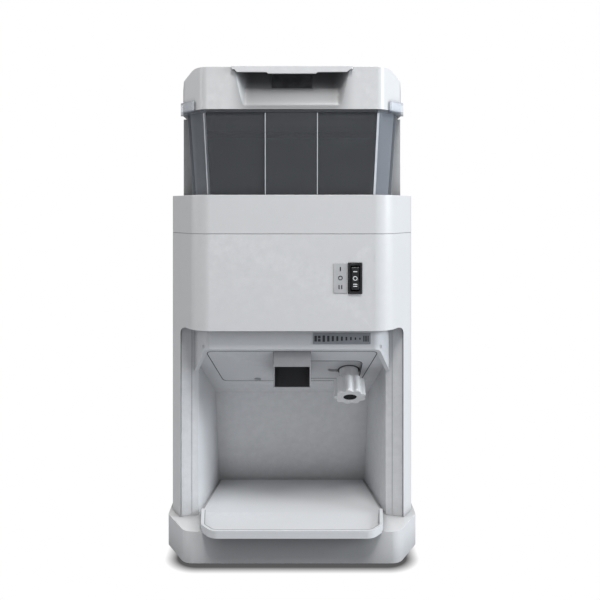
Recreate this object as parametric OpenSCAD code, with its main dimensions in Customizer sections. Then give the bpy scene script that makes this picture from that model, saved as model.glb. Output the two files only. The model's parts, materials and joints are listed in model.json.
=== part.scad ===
// Cube-ice shaving machine: a motor-driven impeller sweeps ice over an
// adjustable blade, and the shavings fall through a chute into an open bay.
// Origin: centre of the footprint on the counter. +X right, +Y back, +Z up.

/* [Body] */
// Half of the width of the housing
body_hw = 135.3; // [134.8:0.1:136]
// Wall of the moulded shells
wall = 3; // [2.6:0.1:3.2]
// Height of the seam between housing and upper collar
seam_z = 351; // [350:0.5:352]
// Height of the top of the upper collar
collar_z = 392.3; // [391:0.1:394]
// Height of the lower edge of the front fascia
fascia_z = 249.1; // [248.6:0.1:250]

/* [Base] */
// Half of the width of the base
base_hw = 137.6; // [137:0.1:139]
// Height of the top of the base
base_top = 38.6; // [38:0.1:39]
// Diameter of a rubber foot
foot_d = 30; // [24:1:34]

/* [Bay] */
// Slope of the bay ceiling in degrees
ceil_a = 31.8; // [31.5:0.1:32]
// Half of the width of the ice chute
chute_hw = 20; // [18:0.5:20]
// Tilt of the adjuster stud in degrees
stud_a = 38; // [37.5:0.1:38.5]

/* [Hopper] */
// Half of the width of the clear hopper at its rim
hop_hw = 119; // [117:0.5:120]
// Height of the hopper rim
hop_z = 486; // [484:0.5:487]
// Height of the top of the hood
hood_z = 532.7; // [531:0.1:534]

/* [Controls] */
// Sideways position of the rocker switch
sw_x = 66.3; // [64:0.1:68]
// Height of the middle of the rocker switch
sw_z = 304.6; // [302:0.1:308]

/* [Ice drive] */
// Outside radius of the ice drum
drum_r = 92; // [90:0.5:93]
// Number of impeller paddles
paddles = 3; // [2:1:4]
// Pitch radius of the driven pulley
big_r = 45; // [40:0.5:46]
// Pitch radius of the motor pulley
small_r = 18; // [16:0.5:20]

/* [Hidden] */
gap = 0.05;                // running clearance
front_y = -170;            // front plane
back_y = 179;              // back of the housing
spindle_y = -48;
motor_y = 95;
front_hw = 101.3;          // half width of the flat front of the body
chamfer_y = -111.5;        // where the front chamfers meet the sides
floor_z = base_top + 0.1;  // foot of the parts that stand on the base
post_z = 7.6;              // foot of the posts
deck_z = 248;
deck_top = 256;
bracket_z = 190.1;
bracket_top = 194;
post_r = 6;                // deck posts
motor_post_r = 5;
boss_hole_r = 2.25;        // base screw holes
cover_hole_r = 2.1;        // rear cover screw holes

// ---------- outlines ----------
// points of the right half, front to back, joined to their mirror images
function both_sides(half) = concat(half,
  [for (i = [len(half)-1:-1:0]) [-half[i][0], half[i][1]]]);
// each corner of an outline replaced by an arc of radius r (or r[i]) in n steps
function rounded(points, r, n=5) = [for (i = [0:len(points)-1])
  let (radius = is_list(r) ? r[i] : r,
    corner = points[i],
    before = points[(i+len(points)-1) % len(points)],
    after = points[(i+1) % len(points)],
    u = (before-corner)/norm(before-corner),
    v = (after-corner)/norm(after-corner),
    half_a = acos(u*v)/2,
    start = corner + u*radius/tan(half_a),
    end = corner + v*radius/tan(half_a),
    centre = corner + (u+v)/norm(u+v)*radius/sin(half_a))
  for (k = radius > 0 ? [0:n] : [0])
    radius > 0 ? let (w = start + (end-start)*k/n - centre) centre + w/norm(w)*radius : corner];
// symmetric rounded outline; radii is a number or one value per right-hand point
function rounded_pair(half, radii, n=5) = rounded(both_sides(half),
  is_list(radii) ? concat(radii, [for (i = [len(radii)-1:-1:0]) radii[i]]) : radii, n);

body_out = rounded_pair([[front_hw, front_y], [body_hw, chamfer_y], [body_hw, back_y]],
  [26, 26, 0]);
body_in = rounded_pair([[front_hw-wall*0.57, front_y+wall],
  [body_hw-wall, chamfer_y+wall*0.26], [body_hw-wall, back_y+1]], [23, 23, 0]);
base_out = rounded_pair([[113, front_y], [base_hw, -124], [base_hw, back_y]], [14, 14, 10]);

// ---------- shared shapes ----------
module box(at, size) translate(at) cube(size);
module prism(points, z0, z1) translate([0, 0, z0]) linear_extrude(z1-z0) polygon(points);
// profile in the Y-Z plane, extruded along X from -half_w to half_w
module yz(points, half_w)
  translate([-half_w, 0, 0]) rotate([90, 0, 90]) linear_extrude(2*half_w) polygon(points);
// 2D children in the X-Z plane, extruded along Y
module xz(front, back)
  translate([0, back, 0]) rotate([90, 0, 0]) linear_extrude(back-front) children();
module cyl(z0, z1, r) translate([0, 0, z0]) cylinder(h=z1-z0, r=r, $fn=64);
module tube(z0, z1, r, inner_r) difference() {
  cyl(z0, z1, r);
  cyl(z0-1, z1+1, inner_r);
}
// cap screws whose heads bear on the height seat
module screw_down(seat, length, r, head_r, head_h) {
  cyl(seat, seat+head_h, head_r);
  cyl(seat-length, seat+0.01, r);
}
module screw_up(seat, length, r, head_r, head_h) {
  cyl(seat-head_h, seat, head_r);
  cyl(seat-0.01, seat+length, r);
}

// ---------- places ----------
module pairs(x, ys) for (side = [-1, 1]) for (y = ys) translate([side*x, y, 0]) children();
module sides() for (m = [0, 1]) mirror([m, 0, 0]) children();
module around(n, start=0) for (i = [0:n-1]) rotate([0, 0, start+i*360/n]) children();
module at_feet() pairs(95, [-138, 150]) children();
module at_base_screws(x=118) pairs(x, [-66, 165]) children();
module at_deck_posts() pairs(120, [-100, 50]) children();
module at_motor_posts() pairs(108, [72, 148]) children();
module at_rear_screws(x=122)
  for (side = [-1, 1]) for (z = [70, 330]) translate([side*x, back_y, z]) children();
module at_guides() for (y = [-134, -98]) translate([52, y, 0]) children();
module at_blade_screws() for (y = [-128, -106]) translate([17, y, 0]) children();
module at_spindle() translate([0, spindle_y, 0]) children();
module at_motor() translate([0, motor_y, 0]) children();
module at_motor_bolts() at_motor() around(4, 45) translate([50, 0, 0]) children();
// Z axis along the power cord, pointing back
module at_cord() translate([-80, back_y-10, 60]) rotate([-90, 0, 0]) children();

// ---------- base ----------
module base_shell() color("whitesmoke") difference() {
  prism(base_out, 5, base_top);
  prism([for (p = base_out) [p[0]*(1-wall/base_hw), p[1] > 0 ? p[1]-wall : p[1]+wall]],
    4, base_top-wall);
  at_deck_posts() cyl(4, 60, post_r+0.5);
  at_motor_posts() cyl(4, 60, motor_post_r+0.5);
  at_base_screws() cyl(30, 60, boss_hole_r);
  box([-105, 20, 30], [80, 120, 30]);
}
module base_plate() color("silver") difference() {
  prism([for (p = base_out) [p[0]*0.966, p[1]*0.962]], 5.5, 7.5);
  at_feet() cyl(4, 9, 2.6);
}
// pad below the base plate, stem and retaining button above
module rubber_feet() color("#222222") at_feet() difference() {
  union() {
    cyl(0, 5.4, foot_d/2);
    cyl(5.3, 7.5, 2.5);
    cyl(7.6, 10, 4);
    cyl(7.4, 7.7, 2.5);
  }
  cyl(-1, 3, 5);
}
module base_screws() color("silver") at_base_screws() screw_up(35.5, 14, 2.2, 4.5, 3);

// ---------- housing ----------
module rear_holes() at_rear_screws() translate([0, -20, 0]) rotate([-90, 0, 0])
  cylinder(h=40, r=cover_hole_r, $fn=32);
// front view of the bay: height top, upper corners of radius r
module bay_opening(top, r) xz(-200, -60) {
  inner_hw = 114.5;
  translate([-inner_hw, 0]) square([2*inner_hw, top]);
  translate([-inner_hw-r, 0]) square([2*(inner_hw+r), fascia_z-8]);
  for (side = [-1, 1]) translate([side*inner_hw, fascia_z-8]) circle(r=r, $fn=48);
}
module body_shell() color("white") difference() {
  union() {
    difference() {
      prism(body_out, floor_z, seam_z);
      prism(body_in, base_top-1, seam_z-wall);
    }
    at_base_screws(123) box([-11, -7, floor_z], [22, 14, 14]);
    at_rear_screws(123.5) box([-9.5, -14, -8], [19, 14, 16]);
  }
  rear_holes();
  // top opening inside a flange
  prism(both_sides([[90, -152], [122, -104], [122, back_y-9]]), seam_z-wall-1, seam_z+5);
  bay_opening(fascia_z, 8);
  // switch opening
  box([sw_x-7.5, front_y-5, sw_z-16.5], [15, 12, 33]);
  at_base_screws() cyl(30, 50, boss_hole_r);
}
module rear_cover() color("whitesmoke") difference() {
  union() {
    box([-body_hw, back_y+0.1, 44], [2*body_hw, 2.9, seam_z-44-1]);
    box([-60, back_y-8, 48], [160, 8.2, 4]);
  }
  // vent slots
  for (i = [0:8]) box([-62, back_y-3, 90+i*12], [124, 10, 5]);
  rear_holes();
  at_cord() cylinder(h=40, r=9.2, $fn=48);
}
module rear_cover_screws() color("silver")
  at_rear_screws() translate([0, -8, 0]) rotate([-90, 0, 0]) {
    cylinder(h=11, r=2.05, $fn=32);
    translate([0, 0, 11]) cylinder(h=2, r=4, $fn=32);
  }
module upper_collar() color("white") difference() {
  prism(body_out, seam_z+0.3, collar_z);
  intersection() {
    prism(body_in, seam_z-1, collar_z-wall);
    box([-200, -200, 0], [400, 200+back_y-wall, 500]);
  }
  prism(both_sides([[98.5, -140], [118.5, -111], [118.5, -79], [129, -79], [129, 136]]),
    collar_z-10, collar_z+9);
}

// ---------- bay ----------
function ceil_z(y) = 228 - tan(ceil_a)*(y+160);
pocket_front = -131;
pocket_back = -83;
function pocket_z(y) = ceil_z(pocket_back) + (pocket_back-y)*tan(stud_a);
stud_y = -100;
stud_x = 64.8;
stud_r = 4;
// frame on the pocket floor, with Z along the adjuster stud
module stud_frame()
  translate([0, stud_y, pocket_z(stud_y)]) rotate([-stud_a, 0, 0]) children();
module on_stud() stud_frame() translate([stud_x, 0, 0]) children();
module at_cover_screw() translate([-40, -81, ceil_z(-81)]) rotate([-ceil_a, 0, 0]) children();
bay_in = both_sides([[140, -200], [140, -126.01], [103.8, -126], [90.5, -18]]);
bay_out = rounded_pair([[93, -160], [108.5, -126], [93.6, -15]], [10, 0, 0]);
function cover_outline(grow) = rounded_pair([[92+grow, -155-grow], [80+grow, -76+grow]], 6);
// sloping layer between two heights above the ceiling
module band(low, high) yz([[-170, ceil_z(-170)+low], [-30, ceil_z(-30)+low],
  [-30, ceil_z(-30)+high], [-170, ceil_z(-170)+high]], 150);

module liner_walls() difference() {
  intersection() {
    prism(bay_out, floor_z, 262);
    yz([[-200, base_top], [-15, base_top], [-37.8, 156.8],
      [-160, ceil_z(-160)+3.5], [-200, ceil_z(-200)+3.5]], 150);
  }
  intersection() {
    prism(bay_in, 0, 262);
    yz([[-210, 0], [-18, 0], [-18, 40], [-41, 154.2],
      [-160, ceil_z(-160)], [-210, ceil_z(-210)]], 150);
  }
}
// upright wall behind the fascia
module liner_header() intersection() {
  difference() {
    prism(bay_out, 190, 256);
    prism(both_sides([[89.6, -157], [105.3, -124], [105.3, 0]]), 180, 262);
  }
  yz([[-200, ceil_z(-200)], [-200, 260], [-122, 260], [-122, 193.6], [-126, 197],
    [-157, ceil_z(-157)]], 150);
}
// flat lip round the front of the header
module liner_lip() prism(both_sides([[88, -166.6], [92.5, -165], [101, -157],
  [118, -127.6], [108.5, -124], [92, -158.5]]), 251, 253.5);
// upright wings at both sides of the mouth
module liner_wings() intersection() {
  sides() prism([[103.8, -126.5], [122.1, -130.4], [122.2, -127.4], [108, -122.6],
    [104, -123]], floor_z, 253.5);
  bay_opening(253.5, 7.7);
}
// sloping ledge above the edge of the ceiling cover
module liner_ledge() intersection() {
  band(3.45, 6);
  difference() {
    prism(both_sides([[96, -157], [86, -70]]), 100, 262);
    prism(both_sides([[87, -150], [75.5, -81]]), 90, 270);
    box([-20.5, -160, 90], [41, 40, 200]);
    box([18, -134.2, 90], [63.2, 54.2, 200]);
    at_cover_screw() cylinder(h=20, r=2.2, $fn=32);
  }
}
module bay_liner() color("white") {
  liner_ledge();
  difference() {
    union() {
      liner_walls();
      liner_header();
      liner_lip();
      liner_wings();
    }
    prism(cover_outline(0.4), 100, 245);
  }
}
// space of the adjuster pocket, grown by a wall
module pocket(grow) {
  front = pocket_front-grow;
  back = pocket_back+grow;
  intersection() {
    yz([[front, ceil_z(pocket_front)-6], [back, ceil_z(pocket_back)-9],
      [back, pocket_z(back)+grow*1.1], [front, pocket_z(front)+grow*1.1]], 150);
    translate([0, 0, 100]) linear_extrude(200) union() {
      translate([20.6, -140]) square([41, 70]);
      polygon(rounded([[30, front], [78+grow, front], [78+grow, back], [30, back]],
        [0, 8, 8, 0]));
    }
  }
}
module slot(x0, x1, r, h) {
  for (x = [x0, x1]) translate([x, 0, 0]) cylinder(h=h, r=r, $fn=48);
  box([x0, -r, 0], [x1-x0, 2*r, h]);
}
module ceiling_cover() color("whitesmoke") difference() {
  union() {
    intersection() {
      band(0, 3.3);
      prism(cover_outline(0), 100, 262);
    }
    intersection() {
      pocket(2.4);
      box([20.6, -140, 100], [80, 80, 200]);
      band(0, 40);
    }
  }
  pocket(0);
  // notch round the chute
  box([-20.4, -165, 100], [40.8, 55.4, 200]);
  stud_frame() translate([0, 0, -10]) slot(45.2, 69.4, 4.3, 40);
  at_cover_screw() cylinder(h=20, r=2.2, center=true, $fn=32);
}
module cover_screw() color("silver") at_cover_screw() {
  translate([0, 0, -1.2]) cylinder(h=1.2, r=3.6, $fn=32);
  translate([0, 0, -0.1]) cylinder(h=9, r=2.15, $fn=32);
}
// window low in the front wall and notch high in the right wall
module chute_cuts(inset, notch_inset) {
  box([-chute_hw+inset, -160, 180], [2*(chute_hw-inset), 10, 28.3]);
  box([chute_hw-notch_inset, -142, 236.5], [8, 49, 20]);
}
module ice_chute() color("gainsboro") difference() {
  yz([[-155, 186], [-110, 176], [-110, 222], [-90, 240], [-90, 247.6], [-155, 247.6]],
    chute_hw);
  yz([[-153, 170], [-112, 170], [-112, 223], [-92, 241], [-92, 250], [-153, 250]],
    chute_hw-1.2);
  chute_cuts(1.2, 3);
}
module chute_liner() color("#1c1c1e") difference() {
  yz([[-152.9, 186.4], [-112.1, 177], [-112.1, 223.1], [-92.1, 241.1], [-92.1, 247.5],
    [-152.9, 247.5]], chute_hw-1.3);
  yz([[-151.9, 170], [-113, 170], [-113, 223.5], [-93, 241.5], [-93, 250], [-151.9, 250]],
    chute_hw-2);
  chute_cuts(2, 4);
}
module drip_tray() color("white") {
  outer = rounded_pair([[84, -184.8], [96, -168], [100.4, -127], [87.6, -22]],
    [14, 10, 10, 4]);
  inner = rounded_pair([[82, -181.4], [92.6, -168], [97, -127], [84.6, -25]],
    [12, 8, 8, 4]);
  difference() {
    prism(outer, base_top+0.2, 45.4);
    prism(inner, 41.2, 60);
    box([-200, -126, 40.2], [400, 300, 20]);
  }
  // front edge, reaching below the top of the base
  difference() {
    prism(outer, 37.4, 42);
    box([-200, -170.4, 0], [400, 300, 100]);
  }
}

// ---------- cutter ----------
pin_r = 3;
module cutter_deck() color("silver") difference() {
  union() {
    at_spindle() cyl(deck_z, deck_top, 102);
    box([-127, -108, deck_z], [254, 172, deck_top-deck_z]);
  }
  at_spindle() cyl(240, 260, 12);
  // blade slot
  box([-8, -140, 240], [13, 48, 20]);
  at_deck_posts() cyl(240, 260, 2.6);
  at_guides() cyl(240, 260, pin_r);
}
module deck_posts() color("silver") at_deck_posts() difference() {
  cyl(post_z, deck_z, post_r);
  cyl(228, 250, 2.6);
}
module deck_screws() color("gray") at_deck_posts() screw_down(deck_top, 22, 2.55, 5, 4);
// wall with an outward flange at each end
module drum() color("lightgray") at_spindle() {
  tube(deck_top+0.05, 330, drum_r, drum_r-1.2);
  tube(deck_top+0.05, 257.6, drum_r+6, drum_r-0.1);
  tube(328.4, 330, drum_r+6, drum_r-0.1);
}
// plate with a sloping wedge below
module blade_carrier() color("silver") {
  difference() {
    box([3.6, -138, 240], [54.4, 43, 6]);
    at_guides() cyl(230, 260, pin_r+gap);
    at_blade_screws() cyl(230, 260, 1.6);
  }
  intersection() {
    box([30, -104, 225], [16, 6, 16]);
    xz(-110, -90) polygon([[30, 232.1], [56, 233.4], [56, 241], [30, 241]]);
  }
}
module guide_pins() color("gray") at_guides() cyl(237, deck_top, pin_r);
module blade() color("lightsteelblue") difference() {
  xz(-138, -95) polygon([[3.4, 246.1], [26, 246.1], [26, 247.3], [3.4, 247.3],
    [-1.5, 252.5], [-2.2, 252.2]]);
  at_blade_screws() cyl(230, 260, 1.6);
}
module blade_screws() color("gray") at_blade_screws() screw_up(240, 7.2, 1.55, 3, 2);

// ---------- spindle ----------
impeller_z = 258.4;
hub_top = 294;
spindle_r = 10;
thread_r = 6;
module impeller() color("lightgray") at_spindle() {
  difference() {
    cyl(impeller_z, hub_top, 17);
    cyl(250, 300, spindle_r);
  }
  difference() {
    cyl(impeller_z, 261, 44);
    cyl(250, 300, 16);
  }
  around(paddles, 30) translate([15.8, -2, impeller_z]) {
    cube([71, 4, 36]);
    rotate([25, 0, 0]) cube([68, 3, 16]);
  }
}
module spindle() color("gray") at_spindle() {
  cyl(206, hub_top, spindle_r);
  cyl(hub_top-0.1, 306, thread_r);
  cyl(208, 212, 15);
}
module impeller_nut() color("silver") at_spindle() difference() {
  union() {
    translate([0, 0, hub_top]) cylinder(h=9, r=13, $fn=6);
    cyl(hub_top, hub_top+2, 14);
  }
  cyl(290, 310, thread_r);
}
module bearing_housing() color("silver") at_spindle() difference() {
  union() {
    cyl(233, deck_z, 24);
    cyl(244, deck_z, 32);
  }
  cyl(235, 250, 17.5);
  cyl(230, 250, 13);
}
module spindle_bearings() color("gray") at_spindle() difference() {
  tube(235, 247.9, 17.5, spindle_r+gap);
  tube(234, 236.5, 15.5, 12.5);
  tube(246.4, 249, 15.5, 12.5);
}

// ---------- belt drive ----------
pulley_z = 212;
module pulley_rim(r) {
  cyl(pulley_z, pulley_z+3, r+3);
  cyl(pulley_z+2.9, pulley_z+15.1, r);
  cyl(pulley_z+15, pulley_z+18, r+3);
}
module driven_pulley() color("dimgray") at_spindle() difference() {
  pulley_rim(big_r);
  tube(pulley_z-1, pulley_z+4.5, big_r-6, 20);
  cyl(200, 240, spindle_r);
  around(6) translate([30, 0, 0]) cyl(205, 240, 8);
}
// solid loop round both pulleys, the given distance outside their pitch radii
module belt_loop(out, z0, z1) {
  big = big_r+out;
  small = small_r+out;
  wrap_a = asin((big_r-small_r)/(motor_y-spindle_y));
  at_spindle() cyl(z0, z1, big);
  at_motor() cyl(z0, z1, small);
  prism(both_sides([[cos(wrap_a)*big, spindle_y+sin(wrap_a)*big],
    [cos(wrap_a)*small, motor_y+sin(wrap_a)*small]]), z0, z1);
}
module drive_belt() color("#222222") difference() {
  belt_loop(2.6, pulley_z+4, pulley_z+14);
  belt_loop(0.15, pulley_z+3, pulley_z+15);
}

// ---------- motor ----------
shaft_r = 7;
module motor_body() color("dimgray") {
  difference() {
    union() {
      at_motor() cyl(74, 190, 58);
      at_motor() cyl(70, 74.1, 40);
      at_motor() around(12) box([56, -2, 84], [6, 4, 96]);
    }
    at_motor() cyl(80, 184, 48);
    at_motor() cyl(60, 200, shaft_r+gap);
    at_motor_bolts() cyl(178, 192, 2.1);
  }
  // stator
  at_motor() tube(100, 165, 48.01, 33);
}
// shaft with the rotor
module motor_shaft() color("silver") at_motor() {
  cyl(60, 232, shaft_r);
  cyl(102, 163, 32);
}
module motor_pulley() color("dimgray") at_motor() difference() {
  pulley_rim(small_r);
  cyl(200, 240, shaft_r);
}
module motor_fan() color("#333333") at_motor() difference() {
  union() {
    cyl(61, 69, 12);
    cyl(61, 62.2, 46);
    around(7) box([9, -1, 61.5], [34, 2, 7.4]);
  }
  cyl(50, 80, shaft_r+0.03);
}
module motor_bracket() color("silver") difference() {
  box([-118, 64, bracket_z], [236, 94, bracket_top-bracket_z]);
  at_motor() cyl(180, 200, 16);
  at_motor_bolts() cyl(180, 200, 2.1);
  at_motor_posts() cyl(180, 200, 2.6);
}
module motor_posts() color("silver") at_motor_posts() difference() {
  cyl(post_z, bracket_z, motor_post_r);
  cyl(170, 195, 2.1);
}
module motor_screws() color("gray") {
  at_motor_bolts() screw_down(bracket_top, 13, 2.05, 4, 3);
  at_motor_posts() screw_down(bracket_top, 18, 2.05, 5, 3);
}
module capacitor() color("gainsboro") translate([-85, 40, 0]) {
  cyl(floor_z, 108, 19);
  cyl(108, 111, 17);
  for (x = [-6, 6]) translate([x, 0, 0]) cyl(111, 117, 1.5);
}

// ---------- hopper ----------
function hopper_outline(nose_hw, side_hw, front, back, r) = rounded_pair([[nose_hw, front],
  [side_hw, front+28.5], [side_hw, back-14], [side_hw-14, back]], r, 3);
module slab(points, z) translate([0, 0, z]) linear_extrude(0.4) polygon(points);
module hopper() color([0.75, 0.8, 0.86, 0.5]) {
  difference() {
    hull() {
      slab(hopper_outline(89, 109, -131, 90, 10), 331);
      slab(hopper_outline(97, hop_hw, -138, 96, 10), hop_z-0.4);
    }
    hull() {
      slab(hopper_outline(86.4, 106, -128, 87, 8), 334);
      slab(hopper_outline(94.4, hop_hw-3, -135, 93, 8), hop_z+1);
    }
    at_spindle() cyl(320, 340, drum_r-2);
  }
  // rim
  difference() {
    prism(hopper_outline(98.5, 121, -139.5, 97.5, 10), hop_z-2.4, hop_z);
    prism(hopper_outline(94.2, hop_hw-3.2, -134.8, 92.8, 8), hop_z-4, hop_z+2);
  }
  // clear finger tabs that stand outside the hood
  sides() {
    prism([[119, -116], [126, -108], [126.8, -99], [119, -99]], hop_z-2.4, hop_z);
    prism([[104, -128], [108.2, -130.9], [123.4, -112.9], [125.6, -99], [119, -99],
      [119, -110]], hop_z-2.4, hop_z-0.2);
    prism([[107.8, -129.4], [110, -131.2], [125.2, -113.2], [127.4, -99], [124.8, -99],
      [122.8, -111.7]], hop_z-2.4, hop_z+10.5);
  }
  // rib on the front wall
  hull() {
    slab([[-29.5, -133.9], [28, -133.9], [28, -129], [-29.5, -129]], 362);
    slab([[-29.5, -138.9], [28, -138.9], [28, -136], [-29.5, -136]], hop_z-3);
  }
}
module hopper_gasket() color("#444444") at_spindle() tube(330, 331, drum_r+5, drum_r-3);
module hopper_shroud() color("white") {
  shroud_z = collar_z-12;
  shroud_top = hop_z-3;
  difference() {
    prism(rounded_pair([[127.5, -76], [127.5, 134]], [0, 14]), shroud_z, shroud_top);
    prism(rounded_pair([[124.5, -80], [124.5, 131]], [0, 11]), 0, 600);
  }
  // front returns
  sides() xz(-76, -73.5) polygon([[113.4, shroud_z], [125, shroud_z], [125, shroud_top],
    [120, shroud_top]]);
  // inner flange
  difference() {
    prism(rounded_pair([[126, -75], [126, 133]], [0, 12]), collar_z-10, collar_z-9);
    prism(rounded_pair([[118, -90], [118, 104]], [0, 8]), 0, 600);
  }
}

// ---------- hood and lid ----------
hinge_r = 1.25;
plunger_r = 2;
module lid_hinge() translate([0, 60, hood_z-2.9]) rotate([0, 90, 0]) children();
module at_plunger() translate([62.4, -10, 0]) children();
// solid hood from z0 up, moved inwards by inset
module hood_solid(inset, z0) intersection() {
  prism(rounded_pair([[98-inset*0.7, -139.5+inset], [122-inset, -111], [128-inset, -76],
    [128-inset, 135-inset]], [12, 8, 8, 16]), z0, hood_z-inset);
  xz(-200, 200) polygon(rounded_pair([[130, z0-1], [130, hood_z-18-inset*0.5],
    [109, hood_z-inset]], [0, 10, 12]));
}
module hood() color("white") difference() {
  hood_solid(0, hop_z+0.6);
  // hollow, leaving a front block and a thicker top
  difference() {
    hood_solid(3, hop_z-5);
    box([-62, -150, 480], [124, 32, 100]);
    box([-200, -200, hood_z-6.7], [400, 400, 50]);
  }
  // lower edge of the front block stays clear of the hopper
  box([-63, -136.5, hop_z-5], [126, 20, 9]);
  // lid recess, filling opening and hinge trough
  box([-66.6, -160, hood_z-3.2], [133.2, 216.1, 10]);
  box([-58, -112, 500], [116, 160, 50]);
  box([-50.6, 55.4, hood_z-5.9], [101.2, 9, 20]);
  lid_hinge() cylinder(h=126, r=hinge_r, center=true, $fn=32);
  // finger scoop
  yz([[-150, hood_z+2], [-126, hood_z+2], [-126, hood_z-2.7], [-139.6, hood_z-41],
    [-150, hood_z-41]], 50);
  // seat of the latch plate
  yz([[-140, hood_z-22], [-140, hood_z-5.4], [-122.8, hood_z-5.4], [-128.8, hood_z-22]],
    22.2);
  at_plunger() cyl(500, 560, plunger_r+gap);
}
module lid() color("white") {
  difference() {
    union() {
      prism(rounded_pair([[66, -143.1], [66, 55]], [1, 2]), hood_z-3.1, hood_z);
      box([-50, 50, hood_z-3.1], [100, 10, 3.1]);
      lid_hinge() translate([0, 0, -50]) cylinder(h=100, r=2.6, $fn=48);
    }
    lid_hinge() cylinder(h=126, r=hinge_r+gap, center=true, $fn=32);
  }
  // front lip
  xz(-143.1, -139.9) polygon(both_sides([[66, hood_z], [60, hood_z-6], [28, hood_z-6.2],
    [26, hood_z-7.8]]));
  // rim below the lid, inside the filling opening
  difference() {
    box([-55, -109, hood_z-8], [110, 154, 5]);
    box([-53, -107, hood_z-10], [106, 150, 12]);
  }
}
module latch_plate() color("#202022") yz([[-132.2, hood_z-21.8], [-127.2, hood_z-5.8],
  [-123.2, hood_z-5.8], [-128.9, hood_z-21.8]], 22);
module lid_pin() color("silver") lid_hinge() cylinder(h=122, r=hinge_r, center=true, $fn=32);
module interlock_switch() color("#333333") difference() {
  box([59.6, -22, 508], [20, 24, hood_z-6.8-508]);
  at_plunger() cyl(512, 560, plunger_r+gap);
}
module interlock_plunger() color("firebrick") at_plunger() cyl(514, hood_z-3.2, plunger_r);

// ---------- controls ----------
pivot_r = 1.5;
module at_switch() translate([sw_x, front_y, sw_z]) children();
module rocker_pivot(h, r)
  translate([0, 4, 0]) rotate([0, 90, 0]) cylinder(h=h, r=r, center=true, $fn=32);
module switch_bezel() color("black") at_switch() difference() {
  union() {
    box([-7, -1.6, -16], [14, 1.6, 32]);
    box([-7, -0.1, -16], [14, 24, 32]);
  }
  box([-5, -5, -13.5], [10, 14, 27]);
  box([-4.4, -1, -12.5], [8.8, 20, 25]);
  rocker_pivot(12.4, pivot_r+gap);
}
module rocker() color("black") at_switch() {
  yz([[9, -9.5], [-2, -12.1], [-3, -10.5], [-1.4, 0], [-3, 10.5], [-2, 12.1], [9, 9.5]],
    4.1);
  rocker_pivot(12, pivot_r);
}
module switch_label() color("lightgray")
  box([sw_x-22.5, front_y-0.6, sw_z-15.5], [14, 0.6, 31]);
module scale_label() color("gray") box([22.5, -160.6, 233.8], [61, 0.6, 11.6]);
// slide plate with the stud, and a wedge under the blade carrier
module adjust_slide() color("whitesmoke") {
  stud_frame() box([34, -8, 2.7], [43, 16, 3]);
  on_stud() {
    translate([0, 0, -28]) cylinder(h=30, r=stud_r, $fn=48);
    translate([0, 0, 1]) cylinder(h=2, r=stud_r, $fn=48);
  }
  intersection() {
    box([30, -104, 201], [26, 6, 40]);
    xz(-110, -90) polygon([[30, 201], [56, 201], [56, 233.32], [30, 232.02]]);
  }
}
module adjust_knob() color("whitesmoke") on_stud() difference() {
  union() {
    translate([0, 0, -14.2]) cylinder(h=13.9, r=11, $fn=64);
    translate([0, 0, -33.5]) linear_extrude(19.4) union() {
      circle(r=15.4, $fn=64);
      around(9, 20) translate([13.7, 0]) circle(r=4.3, $fn=32);
    }
  }
  translate([0, 0, -40]) cylinder(h=14, r=7.5, $fn=48);
  translate([0, 0, -40]) cylinder(h=50, r=6.02, $fn=48);
}
module knob_insert() color("goldenrod") on_stud() difference() {
  translate([0, 0, -26]) cylinder(h=25.6, r=6, $fn=48);
  translate([0, 0, -40]) cylinder(h=60, r=stud_r+gap, $fn=48);
}

// ---------- wiring ----------
module terminal_block() color("beige") difference() {
  box([60, 20, floor_z], [44, 18, 20]);
  for (i = [0:3]) translate([67+i*10, 29, 0]) cyl(50, 70, 3);
}
// switch to terminals, along the right side
loom_r = 2.5;
loom = [[sw_x, -143.4, sw_z], [104, -143.4, sw_z], [104, -143.4, 319], [104, 108, 319],
  [122, 108, 319], [122, 108, 54], [88, 108, 54], [88, 41, 54]];
module wire(from, to) {
  span = to-from;
  length = norm(span);
  translate(from) rotate([0, acos(span[2]/length), atan2(span[1], span[0])])
    cylinder(h=length, r=loom_r, $fn=24);
  translate(to) sphere(r=loom_r, $fn=24);
}
module wiring_loom() color("#884422") for (i = [0:len(loom)-2]) wire(loom[i], loom[i+1]);
cord_r = 4;
module cord_grip() color("#222222") at_cord() difference() {
  union() {
    translate([0, 0, 6.9]) cylinder(h=6.3, r=9, $fn=48);
    for (z = [4, 13.1]) translate([0, 0, z]) cylinder(h=3, r=11.5, $fn=48);
  }
  translate([0, 0, -1]) cylinder(h=30, r=cord_r, $fn=48);
}
module power_cord() color("#222222")
  at_cord() translate([0, 0, -50]) cylinder(h=63, r=cord_r, $fn=32);

base_shell();
base_plate();
rubber_feet();
body_shell();
bay_liner();
ceiling_cover();
cover_screw();
rear_cover();
upper_collar();
hopper();
hopper_shroud();
hopper_gasket();
hood();
lid();
lid_pin();
drip_tray();
drum();
cutter_deck();
deck_posts();
deck_screws();
blade_carrier();
blade();
blade_screws();
guide_pins();
ice_chute();
impeller();
spindle();
impeller_nut();
bearing_housing();
spindle_bearings();
driven_pulley();
drive_belt();
motor_body();
motor_shaft();
motor_pulley();
motor_fan();
motor_bracket();
motor_posts();
motor_screws();
capacitor();
rocker();
switch_bezel();
switch_label();
scale_label();
adjust_slide();
adjust_knob();
knob_insert();
interlock_switch();
interlock_plunger();
terminal_block();
wiring_loom();
power_cord();
cord_grip();
base_screws();
rear_cover_screws();
chute_liner();
latch_plate();
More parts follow.
